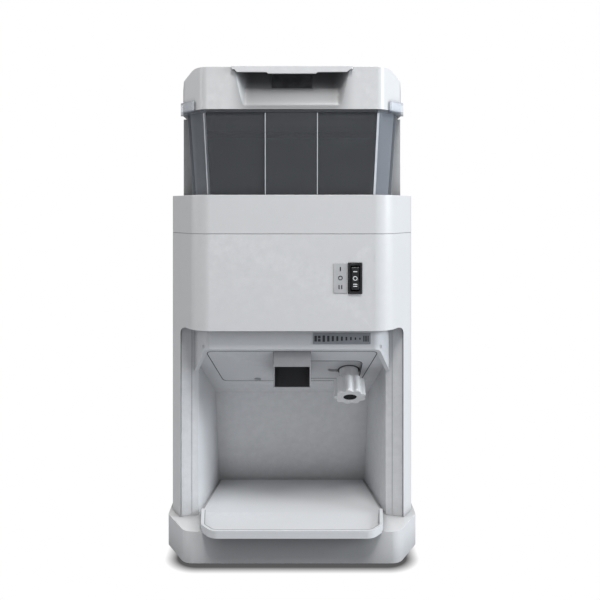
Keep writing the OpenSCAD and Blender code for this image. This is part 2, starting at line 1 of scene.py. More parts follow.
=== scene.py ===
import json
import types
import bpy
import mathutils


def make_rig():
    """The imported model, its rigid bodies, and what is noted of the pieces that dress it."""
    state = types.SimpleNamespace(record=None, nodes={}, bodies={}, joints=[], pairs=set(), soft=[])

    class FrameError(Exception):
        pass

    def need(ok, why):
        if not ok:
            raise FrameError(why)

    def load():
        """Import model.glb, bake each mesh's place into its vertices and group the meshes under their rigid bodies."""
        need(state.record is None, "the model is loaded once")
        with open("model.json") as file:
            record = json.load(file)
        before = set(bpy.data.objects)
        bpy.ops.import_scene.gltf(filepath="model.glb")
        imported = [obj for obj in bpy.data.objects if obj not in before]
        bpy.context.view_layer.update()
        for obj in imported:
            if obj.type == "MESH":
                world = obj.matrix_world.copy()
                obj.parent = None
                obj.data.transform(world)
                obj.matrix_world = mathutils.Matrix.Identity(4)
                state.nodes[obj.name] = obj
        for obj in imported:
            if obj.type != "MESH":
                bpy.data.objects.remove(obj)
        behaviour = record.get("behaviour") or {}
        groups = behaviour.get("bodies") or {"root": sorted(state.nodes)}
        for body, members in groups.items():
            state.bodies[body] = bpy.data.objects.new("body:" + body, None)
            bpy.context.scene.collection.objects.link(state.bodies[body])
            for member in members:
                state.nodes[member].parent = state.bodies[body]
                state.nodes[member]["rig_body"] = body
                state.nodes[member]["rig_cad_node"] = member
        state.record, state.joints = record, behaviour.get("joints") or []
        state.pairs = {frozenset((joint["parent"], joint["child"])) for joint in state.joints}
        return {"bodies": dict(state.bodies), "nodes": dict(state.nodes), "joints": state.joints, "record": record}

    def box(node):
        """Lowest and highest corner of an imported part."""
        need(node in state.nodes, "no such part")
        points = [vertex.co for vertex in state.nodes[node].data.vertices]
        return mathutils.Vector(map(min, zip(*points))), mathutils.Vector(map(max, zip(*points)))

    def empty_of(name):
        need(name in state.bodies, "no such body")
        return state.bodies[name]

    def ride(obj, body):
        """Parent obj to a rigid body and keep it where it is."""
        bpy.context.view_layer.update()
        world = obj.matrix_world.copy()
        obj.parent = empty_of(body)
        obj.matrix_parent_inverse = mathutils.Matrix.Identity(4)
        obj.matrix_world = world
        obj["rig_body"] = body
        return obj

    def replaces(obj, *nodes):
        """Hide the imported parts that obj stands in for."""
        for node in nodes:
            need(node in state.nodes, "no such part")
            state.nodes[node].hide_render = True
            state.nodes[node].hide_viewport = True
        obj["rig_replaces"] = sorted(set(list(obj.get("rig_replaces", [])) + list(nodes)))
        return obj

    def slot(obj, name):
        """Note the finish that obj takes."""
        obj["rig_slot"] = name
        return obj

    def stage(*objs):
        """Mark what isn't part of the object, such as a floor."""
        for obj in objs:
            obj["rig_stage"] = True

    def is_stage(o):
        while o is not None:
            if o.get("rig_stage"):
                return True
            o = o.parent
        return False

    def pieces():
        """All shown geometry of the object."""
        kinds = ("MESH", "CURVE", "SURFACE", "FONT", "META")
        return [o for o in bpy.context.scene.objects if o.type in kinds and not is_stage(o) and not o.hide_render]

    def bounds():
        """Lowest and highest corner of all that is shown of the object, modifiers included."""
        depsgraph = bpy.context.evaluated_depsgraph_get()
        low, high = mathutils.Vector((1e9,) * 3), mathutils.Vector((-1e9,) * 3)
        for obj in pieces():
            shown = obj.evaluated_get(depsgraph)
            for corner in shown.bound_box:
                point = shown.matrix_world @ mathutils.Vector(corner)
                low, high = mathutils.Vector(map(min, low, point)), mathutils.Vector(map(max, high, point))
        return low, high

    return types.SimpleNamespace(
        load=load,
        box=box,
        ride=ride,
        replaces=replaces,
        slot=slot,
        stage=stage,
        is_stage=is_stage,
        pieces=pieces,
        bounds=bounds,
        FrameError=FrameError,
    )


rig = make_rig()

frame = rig.load()
import bpy, bmesh, json, math
from mathutils import Vector, Matrix

CAD_BOX = [list(v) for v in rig.bounds()]
N = frame["nodes"]
MM = 0.001

# ------------------------------------------------------------------ materials
def _nt(name):
    m = bpy.data.materials.new(name); m.use_nodes = True
    nt = m.node_tree; nt.nodes.clear()
    out = nt.nodes.new("ShaderNodeOutputMaterial"); p = nt.nodes.new("ShaderNodeBsdfPrincipled")
    nt.links.new(p.outputs[0], out.inputs[0])
    return m, nt, p

def _noise(nt, vec, scale, detail=3, rough=0.5, stretch=None):
    if stretch:
        mp = nt.nodes.new("ShaderNodeMapping"); mp.inputs["Scale"].default_value = stretch
        nt.links.new(vec, mp.inputs[0]); vec = mp.outputs[0]
    n = nt.nodes.new("ShaderNodeTexNoise"); n.inputs["Scale"].default_value = scale
    n.inputs["Detail"].default_value = detail; n.inputs["Roughness"].default_value = rough
    nt.links.new(vec, n.inputs["Vector"]); return n.outputs["Fac"]

def _ramp(nt, fac, a, b, lo=0.35, hi=0.65):
    r = nt.nodes.new("ShaderNodeMapRange"); r.inputs["From Min"].default_value = lo; r.inputs["From Max"].default_value = hi
    r.inputs["To Min"].default_value = a; r.inputs["To Max"].default_value = b
    nt.links.new(fac, r.inputs["Value"]); return r.outputs[0]

def _mix(nt, fac, a, b):
    x = nt.nodes.new("ShaderNodeMix"); x.data_type = "RGBA"
    nt.links.new(fac, x.inputs[0])
    for i, c in ((6, a), (7, b)):
        if hasattr(c, "is_output"): nt.links.new(c, x.inputs[i])
        else: x.inputs[i].default_value = (*c[:3], 1)
    return x.outputs[2]

def moulded(name, col, rough=0.36, grain=0.05, var=0.03, coat=0.0, grain_scale=2600, metallic=0.0, stretch=None, scuff=0.06, wear=None, ao=0.0, ao_dist=0.05):
    """Moulded plastic, paint or metal: fine grain in the bump, drifting roughness, faint colour drift, rubbed edges,
    and, where ao is set, a painted occlusion shade that darkens the colour in sheltered places.
    """
    m, nt, p = _nt(name)
    tc = nt.nodes.new("ShaderNodeTexCoord"); v = tc.outputs["Object"]
    big = _noise(nt, v, 9, 4, 0.6); mid = _noise(nt, v, 120, 4, 0.6, stretch); fine = _noise(nt, v, grain_scale, 2, 0.5, stretch)
    dark = [c * (1 - var) for c in col]; light = [min(1, c * (1 + var)) for c in col]
    base = _mix(nt, _ramp(nt, big, 0, 1, 0.3, 0.7), dark, light)
    geo = nt.nodes.new("ShaderNodeNewGeometry")
    edge = _ramp(nt, geo.outputs["Pointiness"], 0, 1, 0.52, 0.60)
    em = nt.nodes.new("ShaderNodeMath"); em.operation = "MULTIPLY"; nt.links.new(edge, em.inputs[0]); nt.links.new(_ramp(nt, mid, 0, 0.5), em.inputs[1])
    base = _mix(nt, em.outputs[0], base, wear or [min(1, c * 1.12 + 0.02) for c in col])
    if ao:                                                                # painted occlusion shade: the colour darkens in sheltered places where the AO node finds geometry close by
        an = nt.nodes.new("ShaderNodeAmbientOcclusion"); an.samples = 8; an.inputs["Distance"].default_value = ao_dist
        base = _mix(nt, _ramp(nt, an.outputs["AO"], ao, 0, 0.35, 0.92), base, [c * 0.22 for c in col])
    nt.links.new(base, p.inputs["Base Color"])
    a = nt.nodes.new("ShaderNodeMath"); a.operation = "ADD"
    nt.links.new(_ramp(nt, big, rough - scuff * 0.5, rough + scuff * 0.5, 0.3, 0.7), a.inputs[0]); nt.links.new(_ramp(nt, mid, -scuff * 0.3, scuff * 0.3), a.inputs[1])
    nt.links.new(a.outputs[0], p.inputs["Roughness"])
    b = nt.nodes.new("ShaderNodeBump"); b.inputs["Strength"].default_value = grain; b.inputs["Distance"].default_value = 0.00025
    nt.links.new(fine, b.inputs["Height"])
    b2 = nt.nodes.new("ShaderNodeBump"); b2.inputs["Strength"].default_value = grain * 0.6; b2.inputs["Distance"].default_value = 0.0012
    nt.links.new(_noise(nt, v, 26, 2, 0.4), b2.inputs["Height"]); nt.links.new(b.outputs[0], b2.inputs["Normal"])
    nt.links.new(b2.outputs[0], p.inputs["Normal"])
    p.inputs["Metallic"].default_value = metallic; p.inputs["Coat Weight"].default_value = coat
    p.inputs["Coat Roughness"].default_value = 0.15; p.inputs["IOR"].default_value = 1.5
    return m

def clear_plastic(name):
    m, nt, p = _nt(name)
    tc = nt.nodes.new("ShaderNodeTexCoord"); v = tc.outputs["Object"]
    big = _noise(nt, v, 14, 4, 0.6); mid = _noise(nt, v, 300, 4, 0.6, (1, 1, 0.15))
    out = [n for n in nt.nodes if n.type == "OUTPUT_MATERIAL"][0]
    tr = nt.nodes.new("ShaderNodeBsdfTransparent")
    # painted shade: this grey see-through tint, with a faint drift, dims what shows through the bin; above the rim it
    # is lifted to near clear
    shade_tint = _mix(nt, _ramp(nt, big, 0, 1), (0.70, 0.71, 0.73), (0.76, 0.77, 0.79))
    sx = nt.nodes.new("ShaderNodeSeparateXYZ"); nt.links.new(v, sx.inputs[0])
    # painted shade: the back of the bin beyond y = 0.086 takes a near-black colour and, further down, loses its
    # reflection
    far = _ramp(nt, sx.outputs[1], 0, 1, 0.080, 0.086)
    # painted light and shade by height: the bin's colour is dark grey below the rim and near white on the tabs above it
    near = _mix(nt, _ramp(nt, sx.outputs[2], 0, 1, 0.4862, 0.4868), (0.55, 0.57, 0.6), (0.93, 0.95, 0.98))
    nt.links.new(_mix(nt, far, near, (0.05, 0.05, 0.055)), p.inputs["Base Color"])
    nt.links.new(_mix(nt, _ramp(nt, sx.outputs[2], 0, 1, 0.4862, 0.4868), shade_tint, (0.95, 0.96, 0.97)), tr.inputs[0])
    p.inputs["IOR"].default_value = 1.46
    nt.links.new(_ramp(nt, mid, 0.07, 0.16), p.inputs["Roughness"])
    b = nt.nodes.new("ShaderNodeBump"); b.inputs["Strength"].default_value = 0.05; b.inputs["Distance"].default_value = 0.001
    nt.links.new(big, b.inputs["Height"]); nt.links.new(b.outputs[0], p.inputs["Normal"])
    lw = nt.nodes.new("ShaderNodeFresnel"); lw.inputs[0].default_value = 1.45
    f = _ramp(nt, lw.outputs[0], 0.12, 0.95, 0.03, 0.75)
    # painted light: above the rim the tabs show more of their near-white colour
    tab = _ramp(nt, sx.outputs[2], 0, 0.40, 0.4862, 0.4868)
    fmax = nt.nodes.new("ShaderNodeMath"); fmax.operation = "MAXIMUM"; nt.links.new(f, fmax.inputs[0]); nt.links.new(tab, fmax.inputs[1])
    keep = nt.nodes.new("ShaderNodeMath"); keep.operation = "MULTIPLY"; nt.links.new(_ramp(nt, sx.outputs[1], 1, 0, 0.080, 0.086), keep.inputs[0]); nt.links.new(fmax.outputs[0], keep.inputs[1]); f = keep.outputs[0]
    mx = nt.nodes.new("ShaderNodeMixShader"); nt.links.new(f, mx.inputs[0]); nt.links.new(tr.outputs[0], mx.inputs[1]); nt.links.new(p.outputs[0], mx.inputs[2])
    nt.links.new(mx.outputs[0], out.inputs[0])
    return m

W = (0.80, 0.80, 0.80)
# ao in these finishes and the ones below paints occlusion shade into the colour
MAT = {
    "white_shell": moulded("white_abs", W, 0.36, 0.035, 0.008, 0.10, scuff=0.03, ao=0.85),
    "inner_white": moulded("inner_abs", (0.75, 0.755, 0.765), 0.42, 0.04, 0.01, 0.0, 1900, scuff=0.03, ao=0.3, ao_dist=0.03),
    "clear_bin": clear_plastic("clear_bin"),
    "black_plastic": moulded("black_plastic", (0.018, 0.018, 0.02), 0.38, 0.12, 0.2, wear=(0.09, 0.09, 0.09)),
    "grey_label": moulded("label_film", (0.30, 0.31, 0.33), 0.45, 0.05, 0.03),
    "knob_white": moulded("knob_white", (0.95, 0.95, 0.945), 0.26, 0.05, 0.02, 0.5),
    "rubber": moulded("rubber_black", (0.025, 0.025, 0.026), 0.72, 0.3, 0.2, grain_scale=1500, wear=(0.07, 0.07, 0.07)),
    "stainless": moulded("stainless", (0.62, 0.63, 0.65), 0.27, 0.12, 0.04, metallic=1.0, grain_scale=900, stretch=(1, 1, 0.03)),
    "steel": moulded("zinc_steel", (0.52, 0.53, 0.55), 0.38, 0.12, 0.06, metallic=1.0, grain_scale=1200),
    "aluminium": moulded("aluminium", (0.66, 0.67, 0.68), 0.42, 0.22, 0.05, metallic=1.0, grain_scale=1500),
    "motor_paint": moulded("motor_paint", (0.07, 0.075, 0.085), 0.45, 0.2, 0.1, wear=(0.2, 0.2, 0.21)),
    "brass": moulded("brass", (0.62, 0.44, 0.17), 0.33, 0.1, 0.06, metallic=1.0, stretch=(1, 1, 0.1)),
    "wire": moulded("wire_sleeve", (0.30, 0.07, 0.03), 0.5, 0.1, 0.1),
    "cream_plastic": moulded("cream_plastic", (0.66, 0.61, 0.50), 0.5, 0.1, 0.04),
}
def painted_shadow(m, lo, hi, half, soft, dark=0.035, amount=0.94):
    """Painted shadow: between the heights lo and hi the colour deepens towards the dark tone, by up to amount, inside
    the half width and on faces in front of y = -0.12, standing in for the shade under an overhang.
    """
    nt = m.node_tree; p = [n for n in nt.nodes if n.type == "BSDF_PRINCIPLED"][0]
    src = p.inputs["Base Color"].links[0].from_socket
    tc = nt.nodes.new("ShaderNodeTexCoord"); sp = nt.nodes.new("ShaderNodeSeparateXYZ"); nt.links.new(tc.outputs["Object"], sp.inputs[0])
    ab = nt.nodes.new("ShaderNodeMath"); ab.operation = "ABSOLUTE"; nt.links.new(sp.outputs[0], ab.inputs[0])
    def sm(sock, a, b, f0, f1):
        r = nt.nodes.new("ShaderNodeMapRange"); r.interpolation_type = "SMOOTHSTEP"
        for k, x in zip(("From Min", "From Max", "To Min", "To Max"), (f0, f1, a, b)): r.inputs[k].default_value = x
        nt.links.new(sock, r.inputs["Value"]); return r.outputs[0]
    def mul(a, b):
        x = nt.nodes.new("ShaderNodeMath"); x.operation = "MULTIPLY"; nt.links.new(a, x.inputs[0]); nt.links.new(b, x.inputs[1]); return x.outputs[0]
    f = mul(mul(_ramp(nt, sp.outputs[2], 0, amount, lo, hi), sm(ab.outputs[0], 1, 0, half - soft, half + soft)), sm(sp.outputs[1], 1, 0, -0.125, -0.12))
    nt.links.new(_mix(nt, f, src, (dark, dark, dark * 1.03)), p.inputs["Base Color"])
    return m
# painted shadow of the lid's lip in the finger scoop, deepest towards the top
HOOD = painted_shadow(moulded("hood_abs", W, 0.36, 0.035, 0.008, 0.10, scuff=0.03, ao=0.85), 0.4580, 0.5175, 0.057, 0.013)
# painted shadow of the drip tray's lip on the base's front, deepest towards its top
BASE = painted_shadow(moulded("base_abs", W, 0.36, 0.035, 0.008, 0.10, scuff=0.03, ao=0.7, ao_dist=0.045), -0.025, 0.040, 0.090, 0.022, 0.04, 0.66)
LID = moulded("lid_abs", (0.86, 0.86, 0.86), 0.34, 0.035, 0.008, 0.10, scuff=0.03)
# near-black finish for the painted shade inside the knob's hole
HOLE_SHADE = moulded("hole_shade_black", (0.003, 0.003, 0.003), 0.9, 0.05, 0.1)
# grey for the collar seam's seal and for the painted shadow line at the tray's edge
SEAL_AND_SHADOW = moulded("seam_and_shadow_grey", (0.34, 0.34, 0.35), 0.6, 0.05, 0.05)
GROOVE = moulded("groove_grey", (0.48, 0.48, 0.49), 0.6, 0.05, 0.05)
CHUTE = moulded("chute_abs", (0.36, 0.36, 0.37), 0.4, 0.04, 0.02, ao=0.4, ao_dist=0.02)
LABEL_LIGHT = moulded("label_light", (0.57, 0.573, 0.578), 0.45, 0.05, 0.03)
# painted highlight finish for the bin's rib and corner strips
RIB_HIGHLIGHT = moulded("painted_rib_highlight", (0.62, 0.64, 0.67), 0.25, 0.03, 0.02, 0.3)
# near-black finish for painted shade in gaps: the cover's gap strips and the knob's neck ring
GAP_SHADE = moulded("gap_shade_dark", (0.06, 0.06, 0.065), 0.6, 0.05, 0.1)
GLYPH = moulded("print_dark", (0.035, 0.037, 0.042), 0.5, 0.03, 0.1)
PRINT_WHITE = moulded("print_white", (0.85, 0.86, 0.86), 0.5, 0.03, 0.03)
slot_of = {s["node"]: s["material_slot"] for s in frame["record"]["subparts"]}

def shade(o, bevel=0.8, seg=3, angle=32):
    w = o.modifiers.new("Weld", "WELD"); w.merge_threshold = 2e-5
    d = o.modifiers.new("Planar", "DECIMATE"); d.decimate_type = "DISSOLVE"; d.angle_limit = math.radians(0.6)
    if bevel:
        b = o.modifiers.new("Bevel", "BEVEL"); b.width = bevel * MM; b.segments = seg; b.limit_method = "ANGLE"
        b.angle_limit = math.radians(angle); b.use_clamp_overlap = True; b.harden_normals = False; b.miter_outer = "MITER_ARC"
    n = o.modifiers.new("Normals", "WEIGHTED_NORMAL"); n.keep_sharp = True; n.weight = 80

BEV = {"body_shell": 0.5, "base_shell": 2.2, "upper_collar": 0.5, "hood": 1.6, "lid": 1.0, "bay_liner": 0.6, "drip_tray": 1.2,
       "hopper": 0.8, "hopper_shroud": 1.2, "adjust_knob": 1.0, "ice_chute": 0.5, "ceiling_cover": 0.5, "rear_cover": 0.9,
       "rubber_feet": 1.2, "rocker": 0.6, "switch_bezel": 0.6, "switch_label": 0.15, "scale_label": 0.15, "hopper_gasket": 0.2}
for n, o in N.items():
    o.data.materials.clear(); o.data.materials.append({"base_shell": BASE, "lid": LID, "ice_chute": CHUTE, "switch_label": LABEL_LIGHT}.get(n, MAT[slot_of[n]]))
    for p in o.data.polygons: p.use_smooth = True
    shade(o, BEV.get(n, 0.35), 3 if n in BEV else 2)

# ------------------------------------------------------------------ builders
def make(name, verts, faces, mat, body, slot, mats=None, idx=None, smooth=True):
    me = bpy.data.meshes.new(name); me.from_pydata([tuple(v) for v in verts], [], faces); me.validate(); me.update()
    for x in (mats or [mat]): me.materials.append(x)
    if idx:
        for p, i in zip(me.polygons, idx): p.material_index = i
    bm = bmesh.new(); bm.from_mesh(me); bmesh.ops.recalc_face_normals(bm, faces=bm.faces[:]); bm.to_mesh(me); bm.free()
    for p in me.polygons: p.use_smooth = smooth
    o = bpy.data.objects.new(name, me); bpy.context.scene.collection.objects.link(o)
    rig.ride(o, body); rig.slot(o, slot)
    return o

def extrude_shapes(name, shapes, z0, z1, place, mat, body, slot):
    """Closed flat prisms, one for each outline, put in place by a 4x4 matrix."""
    V, F = [], []
    for s in shapes:
        k = len(V); n = len(s)
        V += [place @ Vector((x, y, z0)) for x, y in s] + [place @ Vector((x, y, z1)) for x, y in s]
        F.append(list(range(k + n - 1, k - 1, -1))); F.append(list(range(k + n, k + 2 * n)))
        F += [[k + i, k + (i + 1) % n, k + n + (i + 1) % n, k + n + i] for i in range(n)]
    return make(name, V, F, mat, body, slot, smooth=False)

def rrect(cx, cy, w, h, r=0.0003, n=4):
    pts = []
    for sx, sy, a0 in ((1, 1, 0), (-1, 1, 90), (-1, -1, 180), (1, -1, 270)):
        for k in range(n + 1):
            a = math.radians(a0 + 90 * k / n)
            pts.append((cx + sx * (w / 2 - r) + r * math.cos(a), cy + sy * (h / 2 - r) + r * math.sin(a)))
    return pts

def ring(cx, cy, ro, ri, n=40):
    """A ring as two half outlines, so each is a plain polygon."""
    out = []
    for h in (0, 1):
        a = [math.radians(180 * h + 180 * k / (n // 2)) for k in range(n // 2 + 1)]
        out.append([(cx + ro * math.cos(t), cy + ro * math.sin(t)) for t in a] + [(cx + ri * math.cos(t), cy + ri * math.sin(t)) for t in reversed(a)])
    return out

def face_y(cx, y, cz):
    """Plane facing -Y: local x to the right, local y up, local z towards the viewer."""
    return Matrix(((1, 0, 0, cx), (0, 0, -1, y), (0, 1, 0, cz), (0, 0, 0, 1)))

def smooth01(t):
    t = max(0.0, min(1.0, t)); return t * t * (3 - 2 * t)

def heightfield(nx, nz, x0, x1, z0, z1, back, front):
    """Closed solid between the plane y = front and the surface y = back(x, z)."""
    V, F = [], []
    for j in range(nz + 1):
        for i in range(nx + 1):
            x = x0 + (x1 - x0) * i / nx; z = z0 + (z1 - z0) * j / nz; V.append((x, back(x, z), z))
    k = len(V)
    V += [(x0, front, z0), (x1, front, z0), (x1, front, z1), (x0, front, z1)]
    at = lambda i, j: j * (nx + 1) + i
    F += [(at(i, j), at(i + 1, j), at(i + 1, j + 1), at(i, j + 1)) for j in range(nz) for i in range(nx)]
    F.append([at(i, 0) for i in range(nx + 1)] + [k + 1, k]); F.append([at(i, nz) for i in range(nx, -1, -1)] + [k + 3, k + 2])
    F.append([at(0, j) for j in range(nz, -1, -1)] + [k, k + 3]); F.append([at(nx, j) for j in range(nz + 1)] + [k + 2, k + 1])
    F.append([k, k + 1, k + 2, k + 3])
    me = bpy.data.meshes.new("tool"); me.from_pydata(V, [], F); me.update()
    bm = bmesh.new(); bm.from_mesh(me); bmesh.ops.recalc_face_normals(bm, faces=bm.faces[:]); bm.to_mesh(me); bm.free()
    o = bpy.data.objects.new("tool", me); bpy.context.scene.collection.objects.link(o); return o

def carve(node, name, tools, body, mode="DIFFERENCE"):
    """A new piece: the CAD node's shape with smooth tools cut out of it."""
    src = bpy.data.objects.new("src", N[node].data.copy()); bpy.context.scene.collection.objects.link(src)
    w = src.modifiers.new("w", "WELD"); w.merge_threshold = 2e-5
    for t in tools:
        b = src.modifiers.new("b", "BOOLEAN"); b.operation = mode; b.object = t; b.solver = "EXACT"
    bpy.context.view_layer.update()
    me = bpy.data.meshes.new_from_object(src.evaluated_get(bpy.context.evaluated_depsgraph_get()))
    for x in [src] + tools: bpy.data.objects.remove(x)
    me.materials.clear(); me.materials.append(MAT[slot_of[node]])
    for p in me.polygons: p.use_smooth = True; p.material_index = 0
    o = bpy.data.objects.new(name, me); bpy.context.scene.collection.objects.link(o)
    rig.ride(o, body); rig.slot(o, slot_of[node]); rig.replaces(o, node)
    return o

# ------------------------------------------------------------------ hood with its soft finger scoop
hlo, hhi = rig.box("hood"); HF, HT = -0.1395, hhi.z
def scoop(x, z):
    u = max(0.0, min(1.0, (z - (HT - 0.0422)) / 0.0395)); edge = 0.0555 + 0.0085 * u
    g = 1 - smooth01((abs(x) - 0.0504) / (edge - 0.0504)); return HF - 0.0003 + g * (0.0004 + 0.0142 * u ** 0.92)
hood = carve("hood", "hood_shell", [heightfield(96, 40, -0.068, 0.068, HT - 0.0445, HT + 0.004, scoop, -0.150)], "housing")
hood.data.materials.clear(); hood.data.materials.append(HOOD)
shade(hood, 1.3, 3, 30)

# ------------------------------------------------------------------ painted highlights on the clear bin, painted gap shadows, seams, painted shade in the knob's hole
def strip(name, runs, w, d, mat, body, slot, up):
    """Thin bars along the given runs of points, w wide and d thick, lying on the surface with the normal up."""
    V, F = [], []
    for pts, closed in runs:
        k = len(V); n = len(pts); up = Vector(up).normalized()
        for i, q in enumerate(pts):
            a = Vector(pts[(i - 1) % n] if closed or i else pts[i]); b = Vector(pts[(i + 1) % n] if closed or i < n - 1 else pts[i])
            side = (b - a).cross(up).normalized() * w / 2; q = Vector(q)
            V += [q - side, q + side, q + side + up * d, q - side + up * d]
        for i in range(n if closed else n - 1):
            j = (i + 1) % n
            for c in range(4): F.append([k + 4 * i + c, k + 4 * i + (c + 1) % 4, k + 4 * j + (c + 1) % 4, k + 4 * j + c])
        if not closed: F += [[k, k + 3, k + 2, k + 1], [k + 4 * (n - 1) + c for c in range(4)]]
    return make(name, V, F, mat, body, slot, smooth=False)
def round_pts(poly, r, n=6):
    out = []; m = len(poly)
    for i in range(m):
        p0, p1, p2 = Vector(poly[i - 1]), Vector(poly[i]), Vector(poly[(i + 1) % m])
        a = (p0 - p1).normalized(); b = (p2 - p1).normalized(); t = r / math.tan(a.angle(b) / 2); c = p1 + (a + b).normalized() * r / math.sin(a.angle(b) / 2)
        s0 = p1 + a * t - c; s1 = p1 + b * t - c; w = s0.angle_signed(s1)
        for k in range(n + 1): out.append(c + Matrix.Rotation(-w * k / n, 2) @ s0)
    return out
TA = math.tan(math.radians(31.8)); ceil = lambda y: 0.228 - TA * (y + 0.160) - 0.00002
DOWN = (0, -TA, -1)
# painted shade: dark strips along the ceiling cover's gap and round the pocket's outline stand in for the shadow in
# those gaps
gap = [(q.x, q.y, ceil(q.y)) for q in round_pts([(-0.0924, -0.1554), (0.0924, -0.1554), (0.0804, -0.0756), (-0.0804, -0.0756)], 0.006)]
gap_shadow_runs = [(gap, True)]
pk = [q for q in round_pts([(0.0, -0.131), (0.078, -0.131), (0.078, -0.083), (0.0, -0.083)], 0.008) if q.x > 0.03]
pk = [Vector((0.0206, -0.131))] + pk + [Vector((0.0206, -0.083))]
gap_shadow_runs.append(([(q.x, q.y, ceil(q.y)) for q in pk], False))
strip("cover_gap_shadow", gap_shadow_runs, 0.0009, 0.00012, GAP_SHADE, "housing", "rubber", DOWN)
# a grey seal in the seam between housing and collar, and a painted shadow line along the tray's inner edge
so = [(q.x, q.y, 0.35106) for q in round_pts([(-0.1006, -0.1685), (0.1006, -0.1685), (0.1338, -0.1111), (0.1338, 0.1775), (-0.1338, 0.1775), (-0.1338, -0.1111)], 0.0245, 10)]
strip("seam_seal", [(so, True)], 0.0020, 0.00018, SEAL_AND_SHADOW, "housing", "rubber", (0, 0, 1))
tlo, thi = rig.box("drip_tray")
te = [(-0.0958, -0.130, 0.04542)] + [(q.x, q.y, 0.04542) for q in round_pts([(-0.0958, -0.120), (-0.0922, -0.168), (-0.0818, -0.1811), (0.0818, -0.1811), (0.0922, -0.168), (0.0958, -0.120)], 0.008, 6)][7:-7] + [(0.0958, -0.130, 0.04542)]
strip("tray_edge_shadow", [(te, False)], 0.0008, 0.0001, SEAL_AND_SHADOW, "tray", "rubber", (0, 0, 1))
line = lambda x0, y0, z0, x1, y1, z1: ([(x0, y0, z0), (x1, y1, z1)], False)
# painted highlights: light glossy strips along the hopper's rib lines and corners; the wider right one is a painted
# reflection
strip("hopper_panel_highlights", [line(-0.0293, -0.1352, 0.3935, -0.0293, -0.1391, 0.4825), line(0.0278, -0.1352, 0.3935, 0.0278, -0.1391, 0.4825)], 0.0010, 0.0002, RIB_HIGHLIGHT, "housing", "clear_bin", (0, -1, 0))
strip("hopper_corner_left_highlight", [line(-0.0925, -0.1335, 0.3935, -0.0966, -0.1379, 0.4825)], 0.0012, 0.0002, RIB_HIGHLIGHT, "housing", "clear_bin", (-0.4, -1, 0))
strip("hopper_corner_right_highlight", [line(0.0905, -0.1335, 0.3935, 0.0945, -0.1379, 0.4825)], 0.0026, 0.0002, RIB_HIGHLIGHT, "housing", "clear_bin", (0.4, -1, 0))
strip("jamb_lines", [line(sx * 0.1109, -0.12806, 0.0400, sx * 0.1109, -0.12806, 0.2440) for sx in (-1, 1)], 0.0008, 0.00012, GROOVE, "housing", "inner_white", (0, -1, 0))
extrude_shapes("rear_seal", [rrect(0, 0.48245, 0.238, 0.0079, 0.0003)], 0, 0.001, face_y(0, 0.0996, 0), MAT["rubber"], "housing", "rubber")
KA = Vector((0, -0.615661, -0.788011)); KO = Vector((0.0648, -0.1, 0.19354)); KX = Vector((1, 0, 0)); KY = KA.cross(KX)
KM = Matrix(((KX.x, KY.x, KA.x, KO.x), (KX.y, KY.y, KA.y, KO.y), (KX.z, KY.z, KA.z, KO.z), (0, 0, 0, 1)))
# painted shade: a near-black disc set in the knob's centre hole stands in for the dark inside the hole
disc = [(0.0073 * math.cos(math.radians(9 * k)), 0.0073 * math.sin(math.radians(9 * k))) for k in range(40)]
extrude_shapes("knob_hole_shade", [disc], 0.0312, 0.0329, KM, HOLE_SHADE, "knob", "black_plastic")
# painted shade: a dark ring round the knob's neck on the pocket floor stands in for the shadow in the gap there
extrude_shapes("knob_shadow_ring", ring(0, 0, 0.0126, 0.0085), 0.00006, 0.00024, KM, GAP_SHADE, "knob", "rubber")

# ------------------------------------------------------------------ printed labels and rocker marks
lo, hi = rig.box("switch_label"); cx, cz, yf = (lo.x + hi.x) / 2, (lo.z + hi.z) / 2, lo.y
P = face_y(cx, yf - 0.00002, cz)
marks = [rrect(0, 0.0098, 0.0012, 0.0044, 0.0003)]                       # first position: a bar
marks += ring(0, 0.0004, 0.0024, 0.0015)                                 # off: an open ring
marks += [rrect(-0.0014, -0.0092, 0.0011, 0.0044, 0.0003), rrect(0.0014, -0.0092, 0.0011, 0.0044, 0.0003)]
extrude_shapes("switch_label_marks", marks, 0, 0.00012, P, GLYPH, "housing", "black_plastic")
lo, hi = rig.box("scale_label"); cx, cz, yf, w = (lo.x + hi.x) / 2, (lo.z + hi.z) / 2, lo.y, hi.x - lo.x
P = face_y(cx, yf - 0.00002, cz)
bars = []
for k in range(9):                                                        # coarse-to-fine wedge of bars
    f = k / 8; bars.append(rrect(-w * 0.315 + w * 0.63 * f, 0, 0.0027 - 0.0013 * f, 0.0068 - 0.0046 * f, 0.0004))
for sx in (-1, 1):
    c = sx * w * 0.42
    if sx < 0: bars += [rrect(c - 0.0022, 0, 0.0026, 0.0062, 0.0005), rrect(c + 0.0016, 0.0017, 0.0028, 0.0028, 0.0005), rrect(c + 0.0016, -0.0017, 0.0028, 0.0028, 0.0005)]
    else: bars += [rrect(c - 0.0024 + 0.0016 * i, 0, 0.0009, 0.0062, 0.0002) for i in range(4)]
extrude_shapes("scale_label_marks", bars, 0, 0.00012, P, GLYPH, "housing", "black_plastic")
